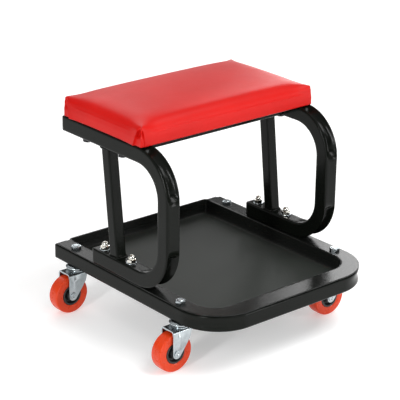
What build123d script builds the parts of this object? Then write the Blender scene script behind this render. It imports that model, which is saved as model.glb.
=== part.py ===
from build123d import *
from math import hypot
import os

# Rolling mechanic's seat. Millimetres, Z up, the floor is Z = 0 and the front is -Y.
# X = 0 is the middle of the seat and Y = 0 the middle of the base's depth.
os.makedirs("parts", exist_ok=True)

# ---- driving sizes -------------------------------------------------------------------
base_width = 352.0  # over the two side rails
base_depth = 401.0  # front rail's face to the rail plugs
rail_top = 104.75  # height of the rails' top face
seat_height = 335.55  # height of the arms' top face, which the seat lies on

tube = 25.4  # square tube of the base and the hoops
tube_wall = 1.5
tube_corner = 3.0
bend_mid = 62.0  # bending radius of every tube, on its centre line
plug_head = 3.0
plug_depth = 9.0
plug_play = 1.5  # between a plug's legs and the tube, both sides together

hoop_front = -97.5  # the hoops' front face
hoop_overhang = 1.0  # the hoops' centre line outside the rails' centre line
arm_end = 170.0  # rear end of a hoop's upper arm
foot_end = 94.0  # rear end of a hoop's foot
brace_side = 19.0  # square tube of the braces
brace_corner = 2.0
brace_foot_y = 41.5
brace_head_y = 61.5
cross_bar_y = 24.7

tray_skin = 2.5
tray_depth = 25.0  # flange top to the floor's top
tray_gap = 0.5  # beside the rails
tray_front_gap = 6.6  # behind the front rail
tray_rear_gap = 2.0  # in front of the rail plugs' faces
tray_draft = 4.0
tray_floor_round = 6.0

pad_overhang = 0.5  # the pad beyond the rails, each side
pad_depth = 200.0
pad_front = -33.5
pad_side = 33.0  # height of the pad at its rim
pad_crown = 44.5  # height of the pad at its middle
cover_skin = 1.0
cover_turn = 26.0  # the cover's turned-under edge
board_thickness = 10.0

bolt_r = 4.0  # M8
bolt_clear = 0.25
thread_clear = 0.05
nut_across = 13.0
nut_height = 6.0
dome_height = 6.5
washer_r = 8.5
washer_thickness = 1.6
tee_wall = 1.5
head_height = 5.3
button_r = 8.0
button_height = 3.6
hoop_bolt_y = (7.0, 76.0)
seat_bolt_y = (28.0, 119.0)

caster_y = {"f": -113.0, "r": 157.0}
stem_r = 5.0  # M10
stem_nut_across = 16.0
stem_nut_height = 5.0
stem_chamfer = 0.8
king_r = 6.0
king_head_r = 9.0
king_head_height = 3.6
cup_r = 18.0
cup_thickness = 4.0
cup_chamfer = 1.0
race_r = 15.0
race_height = 4.4
swivel_gap = 0.1
sheet = 2.4  # the yoke's steel
yoke_inside = 25.0
yoke_round = 8.0
yoke_front = 12.0
knee_back = 4.3  # the knee in the front edge, behind the front
knee_drop = 17.0  # and below the top
trail = 17.5  # the axle's offset behind the stem
running = 0.05  # radial clearance of every running fit

wheel_r = 31.75  # 2.5 inch casters
wheel_width = 22.0
tread_round = 3.5
hub_r = 17.5
hub_rim = 3.0
hub_web = 8.0
hub_boss_r = 9.0
side_play = 0.3
axle_r = 4.0
axle_head_r = 5.6
axle_head = 1.5
bush_wall = 1.5

# ---- places that follow from them ----------------------------------------------------
rail_bottom = rail_top - tube
rail_mid = rail_top - tube / 2
rail_x = base_width / 2 - tube / 2
front_y = -base_depth / 2 + tube / 2
rail_end = base_depth / 2 - plug_head
flange_top = rail_top + tray_skin
hoop_x = rail_x + hoop_overhang
pad_length = base_width + 2 * pad_overhang
hoop_y = hoop_front + tube / 2
foot_mid = flange_top + tube / 2
foot_top = flange_top + tube
arm_mid = seat_height - tube / 2
arm_bottom = seat_height - tube
bend_in = bend_mid - tube / 2
bend_out = bend_mid + tube / 2
pad_mid_y = pad_front + pad_depth / 2
board_bottom = seat_height + cover_skin
board_top = board_bottom + board_thickness
cup_bottom = rail_bottom - cup_thickness
yoke_top = cup_bottom - swivel_gap - race_height
yoke_bottom = yoke_top - sheet
yoke_half = yoke_inside / 2 + sheet
sides = {"left": -1, "right": 1}
corners = [(end + side, sides[name], caster_y[end])
           for end in "fr" for side, name in (("l", "left"), ("r", "right"))]
hoop_bolts = [(s * hoop_x, y) for s in sides.values() for y in hoop_bolt_y]
seat_bolts = [(s * hoop_x, y) for s in sides.values() for y in seat_bolt_y]
stems = [(s * rail_x, y) for _, s, y in corners]


def save(piece, label):
    piece.part.label = label
    export_step(piece.part, f"parts/{label}.step")


def bolt_and_stem_holes():
    """The holes that the rails and the tray's flange share, drawn in the active sketch."""
    with Locations(*hoop_bolts):
        Circle(bolt_r + bolt_clear)
    with Locations(*stems):
        Circle(stem_r + bolt_clear)


def tube_section(side, corner):
    """A square tube's ring, drawn in the active sketch."""
    RectangleRounded(side, side, corner)
    inside = side - 2 * tube_wall
    RectangleRounded(inside, inside, corner - tube_wall, mode=Mode.SUBTRACT)


# ---- base ----------------------------------------------------------------------------
def make_base_frame():
    """One tube bent into a U that is open at the rear, drilled for the bolts and stems."""
    with BuildPart() as frame:
        with BuildLine():
            FilletPolyline((-rail_x, rail_end, rail_mid), (-rail_x, front_y, rail_mid),
                           (rail_x, front_y, rail_mid), (rail_x, rail_end, rail_mid),
                           radius=bend_mid)
        start = Plane(origin=(-rail_x, rail_end, rail_mid), x_dir=(1, 0, 0), z_dir=(0, -1, 0))
        with BuildSketch(start):
            tube_section(tube, tube_corner)
        sweep()
        with BuildSketch(Plane.XY.offset(rail_bottom)):
            bolt_and_stem_holes()
        extrude(amount=tube, mode=Mode.SUBTRACT)
    save(frame, "base_frame")


def make_plug(label, x, mid_z, tube_end, side):
    """A moulded plug that fills the end of a tube which opens to the rear."""
    inside = side - 2 * tube_wall
    with BuildPart() as plug:
        with BuildSketch(Plane(origin=(x, tube_end, mid_z), x_dir=(1, 0, 0), z_dir=(0, 1, 0))):
            RectangleRounded(side, side, tube_corner)
        extrude(amount=plug_head)
        fillet(plug.faces().sort_by(Axis.Y)[-1].edges(), plug_head * 0.4)
        with BuildSketch(Plane(origin=(x, tube_end, mid_z), x_dir=(1, 0, 0), z_dir=(0, -1, 0))):
            Rectangle(inside - plug_play, inside - plug_play)
            with GridLocations(inside * 0.45, inside * 0.45, 2, 2):
                Rectangle(inside * 0.35, inside * 0.35, mode=Mode.SUBTRACT)
        extrude(amount=plug_depth)
    save(plug, label)


def round_fronted(half, front, rear, radius):
    """An outline that is square at the rear and has two round front corners."""
    with BuildLine() as outline:
        FilletPolyline((-half, rear), (-half, front), (half, front), (half, rear), radius=radius)
        Line((half, rear), (-half, rear))
    return outline.line


def basin_outline(inset):
    """The basin's outline at the flange, set in from its outer face."""
    return round_fronted(base_width / 2 - tube - tray_gap - inset,
                         -base_depth / 2 + tube + tray_front_gap + inset,
                         base_depth / 2 - tray_rear_gap - inset,
                         bend_in - tray_front_gap - inset)


def make_tray():
    """A moulded tray: a flange on three rails and a basin with drafted walls between them."""
    with BuildPart() as tray:
        with BuildSketch(Plane.XY.offset(rail_top)):
            add(round_fronted(base_width / 2, -base_depth / 2, base_depth / 2, bend_out))
            make_face()
        extrude(amount=tray_skin)
        with BuildSketch(Plane.XY.offset(rail_top)):
            add(basin_outline(0))
            make_face()
        extrude(amount=-tray_depth, taper=tray_draft)
        with BuildSketch(Plane.XY.offset(flange_top)):
            add(basin_outline(tray_skin))
            make_face()
        extrude(amount=-tray_depth, taper=tray_draft, mode=Mode.SUBTRACT)
        # the flange ends at the basin's rear wall, whose top edge is a bare lip
        rail_inner = base_width - 2 * tube
        with BuildSketch(Plane.XY.offset(rail_top)):
            with Locations((0, base_depth / 2)):
                Rectangle(rail_inner, 2 * tray_rear_gap)
        extrude(amount=tray_skin, mode=Mode.SUBTRACT)
        with BuildSketch(Plane.XY.offset(rail_top)):
            bolt_and_stem_holes()
        extrude(amount=tray_skin, mode=Mode.SUBTRACT)
        floor = tray.faces().filter_by(Axis.Z).group_by(Axis.Z)[1].sort_by(SortBy.AREA)[-1]
        fillet(floor.outer_wire().edges(), tray_floor_round)
    save(tray, "tray")


# ---- hoops, braces and cross bar -----------------------------------------------------
def make_hoop(name, side):
    """A tube bent into a C: foot, upright and arm, drilled for the bolts."""
    x = side * hoop_x
    with BuildPart() as hoop:
        with BuildLine():
            FilletPolyline((x, foot_end - plug_head, foot_mid), (x, hoop_y, foot_mid),
                           (x, hoop_y, arm_mid), (x, arm_end - plug_head, arm_mid),
                           radius=bend_mid)
        start = Plane(origin=(x, foot_end - plug_head, foot_mid), x_dir=(1, 0, 0), z_dir=(0, -1, 0))
        with BuildSketch(start):
            tube_section(tube, tube_corner)
        sweep()
        with BuildSketch(Plane.XY.offset(flange_top)):
            with Locations(*[(x, y) for y in hoop_bolt_y]):
                Circle(bolt_r + bolt_clear)
        extrude(amount=tube, mode=Mode.SUBTRACT)
        with BuildSketch(Plane.XY.offset(arm_bottom)):
            with Locations(*[(x, y) for y in seat_bolt_y]):
                Circle(bolt_r + bolt_clear)
        extrude(amount=tube, mode=Mode.SUBTRACT)
    save(hoop, f"hoop_{name}")


def make_brace(name, side):
    """A leaning square tube, cut level where it is welded to the foot and the arm."""
    rise = arm_bottom - foot_top
    slope = Plane(origin=(side * hoop_x, brace_foot_y, foot_top), x_dir=(1, 0, 0),
                  z_dir=(0, brace_head_y - brace_foot_y, rise))
    spare = brace_side
    length = hypot(rise, brace_head_y - brace_foot_y)
    with BuildPart() as brace:
        with BuildSketch(slope.offset(-spare)):
            tube_section(brace_side, brace_corner)
        extrude(amount=length + 2 * spare)
        split(bisect_by=Plane.XY.offset(foot_top), keep=Keep.TOP)
        split(bisect_by=Plane.XY.offset(arm_bottom), keep=Keep.BOTTOM)
    save(brace, f"brace_{name}")


def make_cross_bar():
    """The tube that ties the two arms together under the seat."""
    half = hoop_x - tube / 2
    with BuildPart() as bar:
        with BuildSketch(Plane(origin=(-half, cross_bar_y, arm_mid), x_dir=(0, 1, 0), z_dir=(1, 0, 0))):
            tube_section(tube, tube_corner)
        extrude(amount=2 * half)
    save(bar, "cross_bar")


# ---- seat ----------------------------------------------------------------------------
def crowned_block(inset, bottom):
    """A block whose top bulges both ways, set in from the pad's outer face."""
    across = pad_length / 2 - inset
    deep = pad_depth / 2 - inset
    side_top = seat_height + pad_side - inset
    crown_top = seat_height + pad_crown - inset
    with BuildPart() as block:
        for half, plane, reach in (
            (across, Plane(origin=(0, pad_mid_y, 0), x_dir=(1, 0, 0), z_dir=(0, -1, 0)), deep),
            (deep, Plane(origin=(0, pad_mid_y, 0), x_dir=(0, 1, 0), z_dir=(1, 0, 0)), across),
        ):
            with BuildSketch(plane):
                with BuildLine():
                    Polyline((-half, side_top), (-half, bottom), (half, bottom), (half, side_top))
                    ThreePointArc((-half, side_top), (0, crown_top), (half, side_top))
                make_face()
            extrude(amount=reach, both=True,
                    mode=Mode.ADD if half == across else Mode.INTERSECT)
    return block.part


def make_seat():
    """Plywood board, foam and the cover that wraps both and turns under the board."""
    with BuildPart() as board:
        with BuildSketch(Plane.XY.offset(board_bottom)):
            with Locations((0, pad_mid_y)):
                Rectangle(pad_length - 2 * cover_skin, pad_depth - 2 * cover_skin)
            with Locations(*seat_bolts):
                Circle(bolt_r + thread_clear + tee_wall, mode=Mode.SUBTRACT)
        extrude(amount=board_thickness)
    save(board, "seat_board")

    with BuildPart() as foam:
        add(crowned_block(cover_skin, board_top))
        with BuildSketch(Plane.XY.offset(board_top)):
            with Locations(*seat_bolts):
                Circle(washer_r + bolt_clear)
        extrude(amount=washer_thickness + bolt_clear, mode=Mode.SUBTRACT)
    save(foam, "seat_foam")

    with BuildPart() as cover:
        add(crowned_block(0, seat_height))
        add(crowned_block(cover_skin, board_bottom), mode=Mode.SUBTRACT)
        with BuildSketch(Plane.XY.offset(seat_height)):
            with Locations((0, pad_mid_y)):
                Rectangle(pad_length - 2 * cover_turn, pad_depth - 2 * cover_turn)
            with Locations(*seat_bolts):
                Circle(bolt_r + bolt_clear)
        extrude(amount=cover_skin, mode=Mode.SUBTRACT)
    save(cover, "seat_cover")


# ---- fasteners -----------------------------------------------------------------------
def hex_face(across, bore):
    RegularPolygon(across / 2, 6, major_radius=False)
    Circle(bore, mode=Mode.SUBTRACT)


def make_seat_fasteners():
    under = arm_bottom - washer_thickness
    tip = board_top - 1.0
    with BuildPart() as bolts:
        with BuildSketch(Plane.XY.offset(under)):
            with Locations(*seat_bolts):
                Circle(bolt_r)
        extrude(amount=tip - under)
        with BuildSketch(Plane.XY.offset(under - head_height)):
            with Locations(*seat_bolts):
                RegularPolygon(nut_across / 2, 6, major_radius=False)
        extrude(amount=head_height)
    save(bolts, "seat_bolts")

    with BuildPart() as washers:
        with BuildSketch(Plane.XY.offset(under)):
            with Locations(*seat_bolts):
                Circle(washer_r)
                Circle(bolt_r + bolt_clear, mode=Mode.SUBTRACT)
        extrude(amount=washer_thickness)
    save(washers, "seat_washers")

    # tee nuts: a flange on the board and a threaded barrel down through it
    with BuildPart() as tee_nuts:
        with BuildSketch(Plane.XY.offset(board_bottom)):
            with Locations(*seat_bolts):
                Circle(bolt_r + thread_clear + tee_wall)
        extrude(amount=board_thickness)
        with BuildSketch(Plane.XY.offset(board_top)):
            with Locations(*seat_bolts):
                Circle(washer_r)
        extrude(amount=washer_thickness)
        with BuildSketch(Plane.XY.offset(board_bottom)):
            with Locations(*seat_bolts):
                Circle(bolt_r + thread_clear)
        extrude(amount=board_thickness + washer_thickness, mode=Mode.SUBTRACT)
    save(tee_nuts, "tee_nuts")


def make_hoop_fasteners():
    tip = foot_top + washer_thickness + nut_height + dome_height / 2
    with BuildPart() as bolts:
        with BuildSketch(Plane.XY.offset(rail_bottom - button_height)):
            with Locations(*hoop_bolts):
                Circle(button_r)
        extrude(amount=button_height)
        fillet(bolts.edges().group_by(Axis.Z)[0], button_height * 0.9)
        with BuildSketch(Plane.XY.offset(rail_bottom)):
            with Locations(*hoop_bolts):
                Circle(bolt_r)
        extrude(amount=tip - rail_bottom)
    save(bolts, "hoop_bolts")

    with BuildPart() as washers:
        with BuildSketch(Plane.XY.offset(foot_top)):
            with Locations(*hoop_bolts):
                Circle(washer_r)
                Circle(bolt_r + bolt_clear, mode=Mode.SUBTRACT)
        extrude(amount=washer_thickness)
    save(washers, "hoop_washers")

    base = foot_top + washer_thickness
    shoulder = base + nut_height
    dome_r = nut_across / 2 - 0.4
    with BuildPart() as nuts:
        with BuildSketch(Plane.XY.offset(base)):
            with Locations(*hoop_bolts):
                RegularPolygon(nut_across / 2, 6, major_radius=False)
        extrude(amount=nut_height)
        with BuildSketch(Plane.XY.offset(shoulder)):
            with Locations(*hoop_bolts):
                Circle(dome_r)
        extrude(amount=dome_height)
        fillet(nuts.edges().group_by(Axis.Z)[-1], dome_r * 0.9)
        with BuildSketch(Plane.XY.offset(base)):
            with Locations(*hoop_bolts):
                Circle(bolt_r + thread_clear)
        extrude(amount=nut_height + dome_height / 2 + thread_clear, mode=Mode.SUBTRACT)
    save(nuts, "cap_nuts")


def make_stem_nuts():
    with BuildPart() as nuts:
        with BuildSketch(Plane.XY.offset(flange_top)):
            with Locations(*stems):
                hex_face(stem_nut_across, stem_r + thread_clear)
        extrude(amount=stem_nut_height)
    save(nuts, "stem_nuts")


# ---- casters -------------------------------------------------------------------------
def make_stem(tag, x, y):
    """Threaded stem, swivel cup and riveted king pin, which stay with the base."""
    tip = flange_top + stem_nut_height + stem_chamfer
    pin_bottom = yoke_bottom - swivel_gap
    with BuildPart() as stem:
        with BuildSketch(Plane(origin=(x, y, 0), x_dir=(1, 0, 0), z_dir=(0, -1, 0))):
            with BuildLine():
                Polyline((0, tip), (stem_r - stem_chamfer, tip), (stem_r, tip - stem_chamfer),
                         (stem_r, rail_bottom), (cup_r - cup_chamfer, rail_bottom),
                         (cup_r, rail_bottom - cup_chamfer), (cup_r, cup_bottom),
                         (king_r, cup_bottom), (king_r, pin_bottom), (king_head_r, pin_bottom),
                         (king_head_r - 2, pin_bottom - king_head_height),
                         (0, pin_bottom - king_head_height), close=True)
            make_face()
        revolve(axis=Axis((x, y, 0), (0, 0, 1)))
    save(stem, f"caster_stem_{tag}")


def make_race(tag, x, y):
    """The ball race between the yoke and the cup."""
    with BuildPart() as race:
        with BuildSketch(Plane(origin=(x, y, yoke_top))):
            Circle(race_r)
            Circle(king_r + running, mode=Mode.SUBTRACT)
        extrude(amount=race_height)
    save(race, f"ball_race_{tag}")


def make_yoke(tag, x, y):
    """Pressed fork: a top plate bent down into two legs that taper to the axle."""
    axle_x = x - trail
    back = axle_x - yoke_round
    front = x + yoke_front
    with BuildPart() as yoke:
        # side outline, full width, then hollowed between the legs
        with BuildSketch(Plane(origin=(0, y, 0), x_dir=(1, 0, 0), z_dir=(0, -1, 0))):
            with BuildLine():
                arc = CenterArc((axle_x, wheel_r), yoke_round, 180, 150)
                Polyline(arc @ 1, (front - knee_back, yoke_top - knee_drop), (front, yoke_top),
                         (back, yoke_top), arc @ 0)
            make_face()
        extrude(amount=yoke_half, both=True)
        top_edges = yoke.faces().sort_by(Axis.Z)[-1].edges().filter_by(Axis.X)
        fillet(top_edges, sheet)
        with BuildSketch(Plane(origin=(x, y, yoke_bottom), x_dir=(1, 0, 0), z_dir=(0, 0, -1))):
            Rectangle(4 * wheel_r, yoke_inside)
        extrude(amount=yoke_bottom, mode=Mode.SUBTRACT)
        with BuildSketch(Plane(origin=(x, y, yoke_bottom))):
            Circle(king_r + running)
        extrude(amount=sheet, mode=Mode.SUBTRACT)
        with BuildSketch(across_axle(axle_x, y)):
            Circle(axle_r + running)
        extrude(amount=yoke_half, both=True, mode=Mode.SUBTRACT)
    save(yoke, f"yoke_{tag}")


def across_axle(x, y):
    """The plane through the caster's middle that faces along the axle."""
    return Plane(origin=(x, y, wheel_r), x_dir=(1, 0, 0), z_dir=(0, -1, 0))


def make_axle(tag, x, y):
    """Riveted axle: a shank through both legs with a head on each outside."""
    with BuildPart() as axle:
        with BuildSketch(across_axle(x, y)):
            Circle(axle_r)
        extrude(amount=yoke_half + axle_head, both=True)
        for way in (-1, 1):
            face = Plane(origin=(x, y + way * yoke_half, wheel_r), x_dir=(1, 0, 0),
                         z_dir=(0, way, 0))
            with BuildSketch(face):
                Circle(axle_head_r)
            extrude(amount=axle_head)
        ends = axle.edges().filter_by(GeomType.CIRCLE).group_by(Axis.Y)
        fillet(ends[0] + ends[-1], 0.7)
    save(axle, f"axle_{tag}")

    with BuildPart() as bush:
        with BuildSketch(across_axle(x, y)):
            Circle(axle_r + running + bush_wall)
            Circle(axle_r + running, mode=Mode.SUBTRACT)
        extrude(amount=yoke_inside / 2 - running, both=True)
    save(bush, f"bush_{tag}")


def make_wheel(tag, x, y):
    """Dished hub on the bush and a tread moulded round it."""
    bore = axle_r + bush_wall + 2 * running
    boss = yoke_inside / 2 - side_play
    rim = wheel_width / 2
    web = hub_web / 2
    groove = hub_r - hub_rim
    with BuildPart() as hub:
        with BuildSketch(Plane(origin=(x, y, wheel_r), x_dir=(0, 0, 1), z_dir=(-1, 0, 0))):
            with BuildLine():
                Polyline((bore, -boss), (hub_boss_r, -boss), (hub_boss_r + 1, -web),
                         (groove - 1, -web), (groove, -rim), (hub_r, -rim), (hub_r, rim),
                         (groove, rim), (groove - 1, web), (hub_boss_r + 1, web),
                         (hub_boss_r, boss), (bore, boss), close=True)
            make_face()
        revolve(axis=Axis((x, y, wheel_r), (0, 1, 0)))
    save(hub, f"wheel_hub_{tag}")

    with BuildPart() as tread:
        with BuildSketch(across_axle(x, y)):
            Circle(wheel_r)
            Circle(hub_r, mode=Mode.SUBTRACT)
        extrude(amount=rim, both=True)
        outer = tread.edges().filter_by(GeomType.CIRCLE).group_by(SortBy.RADIUS)[-1]
        fillet(outer, tread_round)
    save(tread, f"tread_{tag}")


# ---- all pieces ----------------------------------------------------------------------
make_base_frame()
make_tray()
make_cross_bar()
for side_name, side_sign in sides.items():
    make_hoop(side_name, side_sign)
    make_brace(side_name, side_sign)
    make_plug(f"rail_plug_{side_name}", side_sign * rail_x, rail_mid, rail_end, tube)
    make_plug(f"foot_plug_{side_name}", side_sign * hoop_x, foot_mid, foot_end - plug_head, tube)
    make_plug(f"arm_plug_{side_name}", side_sign * hoop_x, arm_mid, arm_end - plug_head, tube)
make_seat()
make_seat_fasteners()
make_hoop_fasteners()
make_stem_nuts()
for tag, side_sign, stem_y in corners:
    stem_x = side_sign * rail_x
    make_stem(tag, stem_x, stem_y)
    make_race(tag, stem_x, stem_y)
    make_yoke(tag, stem_x, stem_y)
    make_axle(tag, stem_x - trail, stem_y)
    make_wheel(tag, stem_x - trail, stem_y)
print("pieces written:", len(os.listdir("parts")))
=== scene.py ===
import math
import bmesh
import bpy
import numpy as np
from mathutils import Matrix, Vector
from mathutils.kdtree import KDTree


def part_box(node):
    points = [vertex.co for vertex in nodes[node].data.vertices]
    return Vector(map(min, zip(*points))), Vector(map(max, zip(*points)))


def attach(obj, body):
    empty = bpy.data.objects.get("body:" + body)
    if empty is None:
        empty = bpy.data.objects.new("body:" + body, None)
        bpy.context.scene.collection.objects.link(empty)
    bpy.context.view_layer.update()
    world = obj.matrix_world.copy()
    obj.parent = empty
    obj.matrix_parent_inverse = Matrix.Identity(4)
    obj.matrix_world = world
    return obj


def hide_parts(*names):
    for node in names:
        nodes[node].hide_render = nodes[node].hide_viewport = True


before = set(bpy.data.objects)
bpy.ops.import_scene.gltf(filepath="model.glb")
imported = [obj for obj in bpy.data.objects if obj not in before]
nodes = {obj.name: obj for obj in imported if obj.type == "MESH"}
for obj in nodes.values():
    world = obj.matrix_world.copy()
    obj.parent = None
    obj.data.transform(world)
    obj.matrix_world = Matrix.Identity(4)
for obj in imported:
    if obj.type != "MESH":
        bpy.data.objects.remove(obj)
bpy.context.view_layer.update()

# lengths are metres; those that the frame doesn't hold stand in each piece's dictionary or, for the
# small steps of a profile, in its rows
casterTags = ["fl", "fr", "rl", "rr"]
chair = "chair"


def makeMesh(name, verts, faces, sharp=35.0):
    # merges doubled points at seams and poles, turns faces outwards, smooths below an angle
    mesh = bpy.data.meshes.new(name)
    mesh.from_pydata(np.asarray(verts).reshape(-1, 3).tolist(), [], faces)
    bm = bmesh.new()
    bm.from_mesh(mesh)
    bmesh.ops.remove_doubles(bm, verts=bm.verts, dist=1e-6)
    bmesh.ops.dissolve_degenerate(bm, edges=bm.edges, dist=1e-7)
    bmesh.ops.recalc_face_normals(bm, faces=bm.faces)
    bm.to_mesh(mesh)
    bm.free()
    mesh.polygons.foreach_set("use_smooth", np.ones(len(mesh.polygons), bool))
    mesh.set_sharp_from_angle(angle=math.radians(sharp))
    obj = bpy.data.objects.new(name, mesh)
    bpy.context.scene.collection.objects.link(obj)
    return obj


def smoothStep(t):
    # 3 t^2 - 2 t^3 between 0 and 1, flat outside
    t = np.clip(t, 0, 1)
    return t * t * (3 - 2 * t)


def gridFaces(rows, cols, wrapRows=False, wrapCols=False, first=0):
    # quads between neighbours of a rows by cols grid of points
    i = np.arange(rows if wrapRows else rows - 1)[:, None]
    j = np.arange(cols if wrapCols else cols - 1)[None, :]
    iNext, jNext = (i + 1) % rows, (j + 1) % cols
    quads = np.stack([i * cols + j, i * cols + jNext, iNext * cols + jNext, iNext * cols + j], -1)
    return (quads.reshape(-1, 4) + first).tolist()


def gridPiece(name, points, wrapRows=False, wrapCols=False, capEnds=False, sharp=35.0):
    # one grid of points as a piece; its first and last rows may be closed by a face
    rows, cols = points.shape[:2]
    faces = gridFaces(rows, cols, wrapRows, wrapCols)
    if capEnds:
        faces.append(list(range(cols))[::-1])
        faces.append(list(range((rows - 1) * cols, rows * cols)))
    return makeMesh(name, points, faces, sharp)


def stackPiece(name, grids, wrapRows=False, wrapCols=False, sharp=35.0):
    # several grids of one size in one mesh, as for repeated fasteners
    count, rows, cols = grids.shape[:3]
    faces = []
    for k in range(count):
        faces += gridFaces(rows, cols, wrapRows, wrapCols, k * rows * cols)
    return makeMesh(name, grids, faces, sharp)


def roundCorners(points, radii, steps=5):
    # each inner corner of an open outline becomes a quadratic curve tangent to its two runs
    pts = np.array(points, float)
    radii = np.broadcast_to(radii, len(pts))
    out = [pts[:1]]
    for before, here, after, r in zip(pts[:-2], pts[1:-1], pts[2:], radii[1:-1]):
        a, b = before - here, after - here
        la, lb = np.linalg.norm(a), np.linalg.norm(b)
        a, b = a / la, b / lb
        half = 0.5 * math.acos(np.clip(a @ b, -1, 1))
        cut = min(r / math.tan(half), 0.49 * la, 0.49 * lb) if 0.02 < half < 1.55 else 0
        if cut <= 0:
            out.append(here[None])
            continue
        t = np.linspace(0, 1, steps)[:, None]
        p0, p2 = here + a * cut, here + b * cut
        out.append((1 - t) ** 2 * p0 + 2 * t * (1 - t) * here + t ** 2 * p2)
    out.append(pts[-1:])
    return np.concatenate(out)


def turnedGrid(profile, centre, axis=(0, 0, 1), segments=64):
    # point(i, j) = centre + radius_i * (cos, sin of angle_j across the axis) + along_i * axis
    axis = np.array(axis, float)
    across = np.cross(axis, (0.31, 0.95, 0.1))
    across /= np.linalg.norm(across)
    other = np.cross(axis, across)
    angle = np.linspace(0, 2 * np.pi, segments, endpoint=False)
    ring = np.cos(angle)[:, None] * across + np.sin(angle)[:, None] * other
    profile = np.asarray(profile, float)
    return np.asarray(centre) + profile[:, :1, None] * ring + profile[:, 1:, None] * axis


def turned(name, profile, centres, axis=(0, 0, 1), segments=64, sharp=40.0):
    # one turned profile repeated at each centre
    grids = np.stack([turnedGrid(profile, c, axis, segments) for c in centres])
    return stackPiece(name, grids, wrapCols=True, sharp=sharp)


def place(obj, body, material, *replaced, slot=None):
    # a piece gets its material, the body that it rides on and the nodes that it stands for; slot is not used
    obj.data.materials.clear()
    obj.data.materials.append(material)
    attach(obj, body)
    if replaced:
        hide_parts(*replaced)
    return obj


def recolour(node, material):
    # a CAD node that keeps its shape gets a new material
    nodes[node].data.materials.clear()
    nodes[node].data.materials.append(material)


def newMaterial(name, colour, roughness, metallic=0.0, specular=0.5):
    # one plain principled shader
    mat = bpy.data.materials.new(name)
    mat.use_nodes = True
    shader = mat.node_tree.nodes["Principled BSDF"]
    shader.inputs["Base Color"].default_value = (*colour, 1)
    shader.inputs["Roughness"].default_value = roughness
    shader.inputs["Metallic"].default_value = metallic
    shader.inputs["Specular IOR Level"].default_value = specular
    return mat


def addNode(mat, kind, **values):
    # values name the node's inputs or its own settings
    node = mat.node_tree.nodes.new(kind)
    for key, value in values.items():
        if key in node.inputs:
            node.inputs[key].default_value = value
        else:
            setattr(node, key, value)
    return node


def link(mat, fromSocket, toSocket):
    # a wire between two sockets
    mat.node_tree.links.new(fromSocket, toSocket)


def objectNoise(mat, scale, detail=4.0, roughness=0.5, stretch=(1, 1, 1)):
    # clouds on object coordinates, drawn out along an axis where stretch is below 1
    coords = addNode(mat, "ShaderNodeTexCoord")
    mapping = addNode(mat, "ShaderNodeMapping")
    mapping.inputs["Scale"].default_value = stretch
    noise = addNode(mat, "ShaderNodeTexNoise")
    noise.inputs["Scale"].default_value = scale
    noise.inputs["Detail"].default_value = detail
    noise.inputs["Roughness"].default_value = roughness
    link(mat, coords.outputs["Object"], mapping.inputs["Vector"])
    link(mat, mapping.outputs["Vector"], noise.inputs["Vector"])
    return noise


def objectCells(mat, scale):
    # a pebble pattern on object coordinates
    coords = addNode(mat, "ShaderNodeTexCoord")
    cells = addNode(mat, "ShaderNodeTexVoronoi")
    cells.inputs["Scale"].default_value = scale
    link(mat, coords.outputs["Object"], cells.inputs["Vector"])
    return cells


def spread(mat, socket, low, high):
    # a 0 to 1 socket becomes low to high
    node = addNode(mat, "ShaderNodeMapRange")
    node.inputs["To Min"].default_value = low
    node.inputs["To Max"].default_value = high
    link(mat, socket, node.inputs["Value"])
    return node.outputs["Result"]


def mixColours(mat, socket, first, second, start=0.35, end=0.65):
    # the base colour runs from first to second as the socket goes from start to end
    ramp = addNode(mat, "ShaderNodeValToRGB")
    ramp.color_ramp.elements[0].position = start
    ramp.color_ramp.elements[0].color = (*first, 1)
    ramp.color_ramp.elements[1].position = end
    ramp.color_ramp.elements[1].color = (*second, 1)
    link(mat, socket, ramp.inputs["Fac"])
    shader = mat.node_tree.nodes["Principled BSDF"]
    link(mat, ramp.outputs["Color"], shader.inputs["Base Color"])


def addBumps(mat, *layers):
    # each layer is (height socket, distance in metres, strength); later ones lie on earlier ones
    shader = mat.node_tree.nodes["Principled BSDF"]
    normal = None
    for height, distance, strength in layers:
        bump = addNode(mat, "ShaderNodeBump")
        bump.inputs["Distance"].default_value = distance
        bump.inputs["Strength"].default_value = strength
        link(mat, height, bump.inputs["Height"])
        if normal:
            link(mat, normal, bump.inputs["Normal"])
        normal = bump.outputs["Normal"]
    link(mat, normal, shader.inputs["Normal"])


def roughen(mat, socket, low, high):
    # the roughness runs from low to high with the socket
    shader = mat.node_tree.nodes["Principled BSDF"]
    link(mat, spread(mat, socket, low, high), shader.inputs["Roughness"])


# the tray's sizes stand first because its material finds the basin's floor with them: sheenHigh and
# mattHigh are the heights over it up to which the floor's painted sheen and its matt texture reach
tray = dict(skin=0.0025, wallGap=0.0005, frontGap=0.0066, rearGap=0.002, draft=4.0, edgeRound=0.0016,
            floorRound=0.005, rearCorner=0.004, tightCorner=0.0005, frontRadius=0.0402, sag=0.0012,
            lipBack=0.012, lipMore=0.0001, outerCorner=0.002, thinner=0.0004, floorStart=0.03,
            sheenHigh=0.0016, mattHigh=0.012, floorBlend=0.0003)

# in each finish: noise scales per metre, depths in metres, and the plain roughness beneath its range
paint = dict(dark=(0.003, 0.0038, 0.0029), light=(0.0048, 0.0058, 0.0045), specular=0.11, plain=0.2,
             roughness=(0.14, 0.24), clouds=9.0, patches=35.0, peel=420.0, peelDepth=0.0001)


def framePaint():
    # powder coat: a shallow orange peel, glossy, with slow clouds in the black
    mat = newMaterial("framePaint", paint["dark"], paint["plain"], specular=paint["specular"])
    clouds = objectNoise(mat, paint["clouds"])
    mixColours(mat, clouds.outputs["Fac"], paint["dark"], paint["light"])
    roughen(mat, objectNoise(mat, paint["patches"]).outputs["Fac"], *paint["roughness"])
    addBumps(mat, (objectNoise(mat, paint["peel"], 2.0).outputs["Fac"], paint["peelDepth"], 0.5))
    return mat


# floor is the rim's plastic painted paler: a painted reflection of the overhead light on the basin floor
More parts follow.
